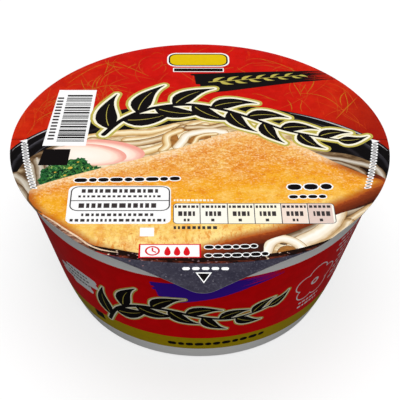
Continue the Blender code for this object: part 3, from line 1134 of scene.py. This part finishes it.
def lay_table(sheet):
    """A table of tinted cells with rows of dashes in each, and a row of dashes above it and below it."""
    edges, low, high = TABLE_EDGES, TABLE_LOW, TABLE_HIGH
    sheet.lay_boxes(
        (edges[0], low, edges[-1], high, 1.6, "line"),
        (edges[0] + 0.25, low + 0.25, edges[-1] - 0.25, high - 0.25, 1.4, "table_1"),
    )
    for left, right, ink in zip(edges[1:], edges[2:], TABLE_INKS):
        inner = right - (0.35 if right < edges[-1] else 0.9)
        sheet.lay_boxes((left, low + 0.3, inner, high - 0.3, ink))
    for left, right in zip(edges, edges[1:]):
        if left > edges[0]:
            sheet.lay_boxes((left - 0.15, low, left + 0.15, high, "line"))
        middle = (left + right) / 2
        for height, reach, half, longest in TABLE_ROWS:
            seed = 60 + round(left - height)
            lay_dashes(sheet, middle - reach, middle + reach, height, half, "line", seed, longest, 0.45)
    lay_dashes(sheet, -9.6, 6.0, -50.0, 0.8, "line", 90, 1.5, 0.6)
    lay_dashes(sheet, -9.6, 5.0, -34.9, 0.55, "cream", 91, 1.2, 0.4)


def lay_clock(sheet):
    """A clock face and three drops in a red frame."""
    sheet.lay_boxes(*RED_FRAME)
    x, y = CLOCK
    sheet.lay(circle(x, y, 2.5, 28), "signal")
    sheet.lay(circle(x, y, 1.9, 28), "white")
    sheet.trace([(x, y + 1.4), (x, y), (x + 1.0, y - 0.7)], [0.28, 0.28], "signal")
    for x in DROPS:
        sheet.lay(loop([(x + u, v) for u, v in DROP], 4), "signal")


def lay_bars(sheet):
    """A leaning white label with a pattern of bars and a column of ticks, and a black square below it."""
    def lean(side, height):
        return side[0] + side[1] * (height - LABEL_LOW) / (LABEL_HIGH - LABEL_LOW)

    sheet.lay(LABEL, "white")
    draw = random.Random(3)
    low = BARS_LOW
    while low < BARS_HIGH:
        high = low + draw.choice(BAR_HEIGHTS)
        left, right = ([(lean(side, height), height) for height in (low, high)] for side in BAR_SIDES)
        sheet.lay([left[0], *right, left[1]], "black")
        low = high + draw.choice(BAR_GAPS)
    for number in range(TICKS):
        low = TICK_LOW + TICK_PITCH * number
        left = lean(TICK_SIDE, low)
        sheet.lay(box(left, low, left + 2.4, low + 1.1, 0.2, 2), "line")
    sheet.lay(LABEL_SQUARE, "black")


def lay_marks(sheet):
    """A plain yellow badge, a black brush mark with a small gold sprig, and rows of round dashes."""
    sheet.lay_boxes(*BADGE_BOXES)
    lay_brush_band(sheet, BRUSH_MARK, BRUSH_MARK_HALVES, "black", 4)
    sprig = curve(SPRIG, 8)
    for line, widths in ((sprig, [0.2, 0.16, 0.1]), *branch_leaves(sprig, 2.9, (6.0, 4.0), (0.95, 0.6))):
        sheet.trace(line, widths, "gold", 3)
    for row in ROUND_ROWS:
        lay_round_dashes(sheet, *row)


def lay_edge_marks(sheet):
    """The tab's dashes and arrow, and at both sides a column of dashes, an arrow and a short line."""
    for number in range(TAB_DASHES):
        x, y = TAB_DASH_START[0] + TAB_DASH_PITCH * number, TAB_DASH_START[1]
        sheet.trace([(x, y), (x + TAB_DASH_LENGTH, y)], [0.62, 0.62], "white")
    for half_length, half, ink in ((0.75, 0.62, "white"), (0.55, 0.24, "mark")):
        for side in (-1, 1):
            for number in range(EDGE_DASHES):
                y = -1.4 - EDGE_DASH_PITCH * number
                x = side * (65.0 + 0.13 * y - 0.003 * y * y)
                lift = 0.2 * side
                line = [(x - half_length, y - lift), (x + half_length, y + lift)]
                sheet.trace(line, [half, half], ink, 4)
    for side in (-1, 1):
        sheet.lay([(side * 66.8, 0.6), (side * 64.0, 1.9), (side * 64.0, -0.7)], "white")
    x, y = ARROW
    for share, ink in ((1.0, "white"), (0.74, "black")):
        reach, top = ARROW_SIZE * share, y + 1.7 * share
        sheet.lay([(x - reach, top), (x, y - reach), (x + reach, top)], ink)
    for x in (-67.8, 67.8):
        sheet.lay_boxes((x - 2.6, 1.8, x + 2.6, 2.05, "mark"))


def lid_print():
    """The lid's print, from the red paper up."""
    sheet = Print(lid_outline(), "washi")
    sheet.guide(lid_guides())
    for lay in (
        lay_fibres, lay_pictured_bowl, lay_toppings, lay_tofu, lay_near_rim, lay_marks, lay_edge_marks,
        lay_bars, lay_panel, lay_table, lay_clock,
    ):
        lay(sheet)
    lay_branch(sheet, BRANCH, LEAF_SPACE, LEAF_LENGTHS, LEAF_HALF_WIDTHS, (2.0, 1.0))
    return sheet


# Meshes

def add_object(name, data):
    item = bpy.data.objects.new(name, data)
    bpy.context.scene.collection.objects.link(item)
    return item


def make_piece(name, places, faces, inks, ink_names, normals, fields):
    """A mesh object from points, faces, an ink for each, and normals and, on print, fields at its corners."""
    fields = [*fields, *[[0.0] * len(face) for face in faces[len(fields):]]]
    _, first, same = np.unique(np.round(places, 7), axis=0, return_index=True, return_inverse=True)
    same = same.reshape(-1)
    merged = places[first]
    joined = [[int(same[i]) for i in face] for face in faces]
    kept = [k for k, face in enumerate(joined) if len(set(face)) == len(face)]
    met = sorted({i for k in kept for i in joined[k]})
    number = {old: new for new, old in enumerate(met)}
    mesh = bpy.data.meshes.new(name)
    mesh.from_pydata([tuple(merged[i]) for i in met], [], [[number[i] for i in joined[k]] for k in kept])
    used = sorted(set(ink_names[k] for k in kept))
    for ink in used:
        mesh.materials.append(inks[ink])
    mesh.polygons.foreach_set("material_index", [used.index(ink_names[k]) for k in kept])
    mesh.polygons.foreach_set("use_smooth", [True] * len(kept))
    layer = mesh.attributes.new("field", "FLOAT", "CORNER")
    layer.data.foreach_set("value", [float(v) for k in kept for v in fields[k]])
    mesh.update()
    mesh.normals_split_custom_set([tuple(n) for k in kept for n in normals[k]])
    return add_object(name, mesh)


def open_edges(corners):
    """The edges that only one triangle has, each in its triangle's direction."""
    found = {}
    for tri in corners:
        for a, b in zip(tri, np.roll(tri, -1)):
            found[(int(a), int(b))] = True
    return [(a, b) for a, b in found if (b, a) not in found]


def build_lid(inks):
    """The printed paper: its top, its underside, and its cut edge between them."""
    flat, corners, ink_names, fields = lid_print().triangles()
    x, y = flat.T
    normals = lid_normals(x, y)
    top = np.stack([x, y, lid_height(x, y)], axis=1) * MM
    under = top - normals * LID_THICKNESS * MM
    faces = [*corners, *(corners[:, ::-1] + len(top))]
    face_normals = [*normals[corners], *-normals[corners[:, ::-1]]]
    edges = open_edges(corners)
    for a, b in edges:
        way = top[b] - top[a]
        out = np.array([way[1], -way[0], 0.0])
        faces.append([b, a, a + len(top), b + len(top)])
        face_normals.append([out / np.linalg.norm(out)] * 4)
    ink_names += ["lid_underside"] * len(corners) + ["lid_edge"] * len(edges)
    places = np.concatenate([top, under])
    return make_piece("printed_lid", places, faces, inks, ink_names, face_normals, fields)


def straight_radius(height):
    """The radius of the wall's straight part at a height, or of that line drawn on."""
    return WALL_TOP_RADIUS - WALL_SLOPE * (RIM_TOP - LIP_HEIGHT - height)


# The middle of the wide arc that the wall follows below its straight part
BEND_CENTRE = (
    straight_radius(BEND_HEIGHT) - BEND_RADIUS * math.cos(WALL_LEAN),
    BEND_HEIGHT + BEND_RADIUS * math.sin(WALL_LEAN),
)


def wall_lean(height):
    """How far the wall's outer side looks down at a height, as an angle."""
    drop = (BEND_CENTRE[1] - np.asarray(height, float)) / BEND_RADIUS
    return np.arcsin(np.clip(drop, math.sin(WALL_LEAN), 1))


def wall_radius(height):
    """The wall's outer radius at a height above the base."""
    bent = BEND_CENTRE[0] + BEND_RADIUS * np.cos(wall_lean(height))
    return np.where(np.asarray(height) > BEND_HEIGHT, straight_radius(height), bent)


def wall_guides():
    """Rows of points round the wall, every other one shifted, so that it stays round."""
    rows = list(enumerate(np.linspace(*PRINT_ROWS, WALL_ROWS)))[1:-1]
    angles = np.arange(WALL_DEGREES / 2 - 180.0, 180.0 - WALL_DEGREES, WALL_DEGREES)
    return [(angle + WALL_DEGREES / 2 * (number % 2), height) for number, height in rows for angle in angles]


def wall_band(low, high):
    """A band right round the unrolled wall, with its points spaced alike along both edges."""
    row = [float(angle) for angle in np.arange(-180.0, 180.1, WALL_DEGREES)]
    return [*[(angle, low) for angle in row], *[(angle, high) for angle in row[::-1]]]


def wall_sheet():
    """The unrolled wall between the foot and the lip, with more points on its seam."""
    low, high = PRINT_ROWS
    seam = (GOLD_FOOT, GOLD_TOP, 26.0, 38.0, PRINT_TOP)
    band = wall_band(low, high)
    half = len(band) // 2
    right, left = ([(side, height) for height in seam] for side in (180.0, -180.0))
    return [*band[:half], *right, *band[half:], *left[::-1]]


# The side's brush mark, row of round dashes and small square, where its blossoms are and their radius,
# and the middles of the back's panels
SIDE_BRUSH = ((-15.5, 42), (-6, 43.6), (4, 45.2), (14, 47.4), (27, 50.4))
SIDE_BRUSH_HALVES = (6.2, 5.4, 4.4, 3.0, 1.4)
SIDE_ROW = ((-13, 10.6), (-2, 10.7), (10, 11.2), (25, 12.2))
SIDE_SQUARE = (-45.5, 10.9, -40.8, 14.9, "black")
BLOSSOM, BACK_BLOSSOMS = (43.4, 32.6, 9.3), ((150, 34, 8.0), (-150, 34, 8.0))
BACK_PANELS = (-100, 100)


def lay_blossom(sheet, x, y, radius):
    """A ring of five round petals drawn in one thin line, and a small ring in its middle."""
    for petal_size, ink in ((0.47, "silver"), (0.47 * 0.89, "wall_red")):
        for petal in range(5):
            angle, reach = math.radians(90 + 72 * petal), radius * 0.56
            centre = (x + reach * math.cos(angle), y + reach * math.sin(angle))
            sheet.lay(circle(*centre, radius * petal_size, 24), ink)
    sheet.lay(circle(x, y, radius * 0.2, 20), "silver")
    sheet.lay(circle(x, y, radius * 0.1, 16), "wall_red")


def lay_mist(sheet, x, y):
    """A low bank of mist: rounded bars, one over another, with small dark dashes on them."""
    for shift, height, half_length in ((0.0, 0.0, 8.4), (2.0, 2.6, 6.4), (-2.0, -2.6, 6.4), (1.0, -4.6, 4.0)):
        line = [(x + shift - half_length, y + height), (x + shift + half_length, y + height)]
        sheet.trace(line, [1.5, 1.5], "silver")
    for number, height in enumerate((2.6, 0.3, -2.2)):
        left = x - 6.5 + 1.5 * (number % 2)
        lay_dashes(sheet, left, x + 6.5, y + height, 0.42, "line", 95 + number, 1.4, 0.5)


def wall_print():
    """The wall's print: bands of colour all round, the front's marks, and the back's panels and blossoms."""
    sheet = Print(wall_sheet(), "bare_wall")
    sheet.guide(wall_guides())
    sheet.lay(wall_band(GOLD_TOP, PRINT_TOP), "wall_red")
    sheet.lay(wall_band(GOLD_FOOT, GOLD_TOP), "wall_gold")
    lay_brush_band(sheet, SIDE_BRUSH, SIDE_BRUSH_HALVES, "violet", 8, 12, 0.3)
    lay_branch(sheet, SIDE_BRANCH, 6.0, (17.0, 9.0), (3.1, 2.0), (1.0, 0.5), 0.6)
    lay_mist(sheet, -48, 31.8)
    lay_round_dashes(sheet, SIDE_ROW, 1.05, (1.5, 0.5, 1.0), 0.45)
    for number in range(9):
        height = 49.6 - 3.0 * number
        left = 54.4 if abs(height - BLOSSOM[1]) < 9 else 50.5
        lay_dashes(sheet, left, 60.5, height, 0.55, "silver", 70 + number, 2.4, 0.6)
    for number in range(2):
        lay_dashes(sheet, 39, 49.4, 21.9 - 2.5 * number, 0.5, "silver", 85 + number, 2.0, 0.6)
    lay_blossom(sheet, *BLOSSOM)
    sheet.lay_boxes(SIDE_SQUARE)
    for panel in BACK_PANELS:
        sheet.lay_boxes((panel - 24, 20, panel + 24, 48, 2.5, "bare_wall"))
        for row in range(8):
            height = 44.5 - row * 3.0
            right = panel + 20 - 6 * (row % 3 == 2)
            sheet.lay_boxes((panel - 20, height - 0.45, right, height + 0.45, 0.2, "rule"))
    for blossom in BACK_BLOSSOMS:
        lay_blossom(sheet, *blossom)
    return sheet


def wall_places(flat):
    """Places on the wall for (degrees from the tab, height) pairs, and the wall's normals there."""
    turn, height = np.radians(flat[:, 0]), flat[:, 1]
    radius = wall_radius(height)
    around = np.stack([np.sin(turn), -np.cos(turn)], axis=1)
    places = np.column_stack([around * radius[:, None], height])
    lean = wall_lean(height)
    normals = np.column_stack([around * np.cos(lean)[:, None], -np.sin(lean)])
    return places, normals


def arc(centre, radius, start, end):
    """Points on a circle from one angle to another, in degrees."""
    return ellipse(*centre, radius, radius, 0, ARC_STEPS, start, end)


def turned_strip(profile):
    """The places, normals and quads of a (radius, height) profile that runs down the outer side."""
    angles = np.radians(np.arange(TURN_STEPS) * 360.0 / TURN_STEPS - 180.0)
    around = np.stack([np.sin(angles), -np.cos(angles)], axis=1)

    def turned(pairs):
        return np.concatenate([np.column_stack([around * out, np.full(TURN_STEPS, up)]) for out, up in pairs])

    quads = []
    for ring in range(len(profile) - 1):
        for k in range(TURN_STEPS):
            a, b = ring * TURN_STEPS + k, ring * TURN_STEPS + (k + 1) % TURN_STEPS
            quads.append([a, a + TURN_STEPS, b + TURN_STEPS, b])
    return turned(profile), turned(left_sides(np.array(profile))), quads


def upper_profile():
    """The bowl above its print: closed just under the lid, with its rolled lip."""
    contact = LID_TOP - LID_THICKNESS
    lip_centre = LIP_RADIUS - LIP_ROUND
    lip_foot = RIM_TOP - LIP_HEIGHT
    return [
        (0.0, RIM_TOP - 0.4),
        (60.0, RIM_TOP - 0.4),
        (SEAL_START, contact - 0.12),
        (SEAL_END, contact - 0.02),
        *arc((lip_centre, contact - LIP_ROUND - 0.02), LIP_ROUND, 90, 0),
        *arc((lip_centre, lip_foot + LIP_ROUND), LIP_ROUND, 0, -90),
        (WALL_TOP_RADIUS + 0.35, lip_foot),
        *[(float(wall_radius(height)), height) for height in (lip_foot - 0.35, PRINT_ROWS[1])],
    ]


def lower_profile():
    """The bowl below its print: the rounded foot, and the underside with its ring-shaped recess."""
    reach = BEND_RADIUS - FOOT_ROUND
    foot_lean = math.asin((BEND_CENTRE[1] - FOOT_ROUND) / reach)
    foot_centre = (BEND_CENTRE[0] + reach * math.cos(foot_lean), FOOT_ROUND)
    return [
        *[(float(wall_radius(height)), height) for height in (PRINT_ROWS[0], 3.0, 2.0)],
        *arc(foot_centre, FOOT_ROUND, -math.degrees(foot_lean), -90),
        (GROOVE_OUTER_RADIUS + 0.3, 0.0),
        (GROOVE_OUTER_RADIUS - 0.2, 0.3),
        (GROOVE_OUTER_RADIUS - GROOVE_SIDE, GROOVE_DEPTH),
        (GROOVE_INNER_RADIUS + GROOVE_SIDE, GROOVE_DEPTH),
        (GROOVE_INNER_RADIUS + 0.2, 0.3),
        (GROOVE_INNER_RADIUS - 0.3, 0.0),
        (0.0, 0.0),
    ]


def build_bowl(inks):
    """The printed wall, and the turned shapes above and below it."""
    flat, corners, ink_names, fields = wall_print().triangles()
    places, normals = wall_places(flat)
    faces = [*corners]
    for profile in (upper_profile(), lower_profile()):
        ring_places, ring_normals, quads = turned_strip(profile)
        faces += [[i + len(places) for i in quad] for quad in quads]
        places = np.concatenate([places, ring_places])
        normals = np.concatenate([normals, ring_normals])
    ink_names += ["bare_wall"] * (len(faces) - len(ink_names))
    face_normals = [normals[face] for face in faces]
    return make_piece("printed_bowl", places * MM, faces, inks, ink_names, face_normals, fields)


# Light, floor and camera

def build_camera():
    data = bpy.data.cameras.new("camera")
    camera = add_object("camera", data)
    away = Vector((-math.sin(CAMERA_TURN), -math.cos(CAMERA_TURN), 0.0))
    target = Vector((0.0, 0.0, LID_TOP * MM))
    back = away * math.cos(CAMERA_PITCH) + Vector((0, 0, math.sin(CAMERA_PITCH)))
    right = Vector((0, 0, 1)).cross(back).normalized()
    up = back.cross(right)
    rolled_right = right * math.cos(CAMERA_ROLL) + up * math.sin(CAMERA_ROLL)
    rolled_up = up * math.cos(CAMERA_ROLL) - right * math.sin(CAMERA_ROLL)
    turn = Matrix((rolled_right, rolled_up, back)).transposed()
    camera.matrix_world = Matrix.Translation(target + back * CAMERA_DISTANCE) @ turn.to_4x4()
    data.sensor_width = SENSOR_MM
    data.lens = FOCAL_PIXELS / PHOTO_SIZE * SENSOR_MM
    data.shift_x = (PHOTO_SIZE / 2 - OPTICAL_CENTRE[0]) / PHOTO_SIZE
    data.shift_y = (OPTICAL_CENTRE[1] - PHOTO_SIZE / 2) / PHOTO_SIZE
    data.clip_start, data.clip_end = 0.02, 50.0
    bpy.context.scene.camera = camera


def build_floor():
    half = FLOOR_SIZE / 2
    mesh = bpy.data.meshes.new("floor")
    mesh.from_pydata([(x, y, 0.0) for x, y in box(-half, -half, half, half)], [], [(0, 1, 2, 3)])
    floor = add_object("floor", mesh)
    finish = Finish("floor_paper")
    white = (1.0, 1.0, 1.0, 1.0)
    for name, value in (
        ("Base Color", colour(158, 158, 158)), ("Roughness", 0.9), ("Specular IOR Level", 0.1),
        ("Emission Color", white), ("Emission Strength", 0.68),
    ):
        finish.shader.inputs[name].default_value = value
    mesh.materials.append(finish.material)
    floor.visible_diffuse = False
    floor.visible_glossy = False


def add_sun(name, strength, width, height, turn):
    """A far, wide, soft light by its width, its height over the floor and its turn from the camera's side."""
    data = bpy.data.lights.new(name, "SUN")
    data.energy = strength
    data.angle = math.radians(width)
    light = add_object(name, data)
    light.rotation_euler = (math.radians(90 - height), 0, math.radians(turn))


def build_light():
    """A wide soft light overhead, weaker ones in front and behind, and a room that the camera sees white."""
    add_sun("overhead", 2.22, 60, 88, 0)
    add_sun("front", 1.16, 40, 36, 4)
    add_sun("behind", 0.38, 60, 10, 180)
    world = bpy.data.worlds.new("room")
    world.use_nodes = True
    tree = world.node_tree
    room = tree.nodes["Background"]
    seen = tree.nodes.new("ShaderNodeBackground")
    for background, strength in ((room, 0.10), (seen, 1.0)):
        background.inputs["Color"].default_value = (1.0, 1.0, 1.0, 1.0)
        background.inputs["Strength"].default_value = strength
    path = tree.nodes.new("ShaderNodeLightPath")
    mix = tree.nodes.new("ShaderNodeMixShader")
    tree.links.new(path.outputs["Is Camera Ray"], mix.inputs["Fac"])
    tree.links.new(room.outputs["Background"], mix.inputs[1])
    tree.links.new(seen.outputs["Background"], mix.inputs[2])
    tree.links.new(mix.outputs["Shader"], tree.nodes["World Output"].inputs["Surface"])
    bpy.context.scene.world = world
    bpy.context.scene.view_settings.view_transform = "Standard"


def main():
    build_camera()
    build_floor()
    build_light()
    inks = make_inks()
    lid = build_lid(inks)
    bowl = build_bowl(inks)
    for piece, node in ((lid, "lid"), (bowl, "bowl")):
        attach(piece, "root")
        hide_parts(node)


main()
